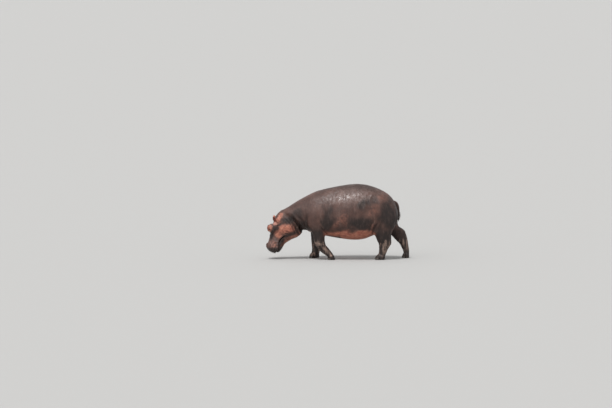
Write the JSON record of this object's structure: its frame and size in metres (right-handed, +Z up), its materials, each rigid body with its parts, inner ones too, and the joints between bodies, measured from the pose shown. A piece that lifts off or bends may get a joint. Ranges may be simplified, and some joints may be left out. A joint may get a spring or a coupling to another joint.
{
  "type": "hippopotamus",
  "caption": "Life-size still model of a hippopotamus walking with its head lowered, standing on its own four feet.",
  "frame": {"origin": "on the ground, below the middle of the animal's length and width", "axes": "-X towards the muzzle, +X towards the tail, -Y towards the animal's left side, +Z up"},
  "size_m": [2.755, 1.0316, 1.45],
  "materials": {
    "hide": "bare damp hide, purplish grey-brown, pink under the belly",
    "hide_of_head": "bare damp hide, pinkish brown with darker lips and brow",
    "hide_of_legs": "bare hide, dark brown and mottled below the knee",
    "ear_hide": "thin bare hide, pink",
    "eye": "wet, dark brown",
    "nail": "dull dark horn"
  },
  "bodies": {
    "root": {"trunk": "hide", "neck": "hide", "tail": "hide", "head": "hide_of_head", "lower_jaw": "hide_of_head", "ear_left": "ear_hide", "ear_right": "ear_hide", "eye_left": "eye", "eye_right": "eye", "foreleg_left_upper_arm": "hide_of_legs", "foreleg_left_forearm": "hide_of_legs", "foreleg_left_foot": "hide_of_legs", "foreleg_left_nail_1": "nail", "foreleg_left_nail_2": "nail", "foreleg_left_nail_3": "nail", "foreleg_left_nail_4": "nail", "foreleg_right_upper_arm": "hide_of_legs", "foreleg_right_forearm": "hide_of_legs", "foreleg_right_foot": "hide_of_legs", "foreleg_right_nail_1": "nail", "foreleg_right_nail_2": "nail", "foreleg_right_nail_3": "nail", "foreleg_right_nail_4": "nail", "hindleg_left_thigh": "hide_of_legs", "hindleg_left_shank": "hide_of_legs", "hindleg_left_foot": "hide_of_legs", "hindleg_left_nail_1": "nail", "hindleg_left_nail_2": "nail", "hindleg_left_nail_3": "nail", "hindleg_left_nail_4": "nail", "hindleg_right_thigh": "hide_of_legs", "hindleg_right_shank": "hide_of_legs", "hindleg_right_foot": "hide_of_legs", "hindleg_right_nail_1": "nail", "hindleg_right_nail_2": "nail", "hindleg_right_nail_3": "nail", "hindleg_right_nail_4": "nail"}
  },
  "joints": []
}
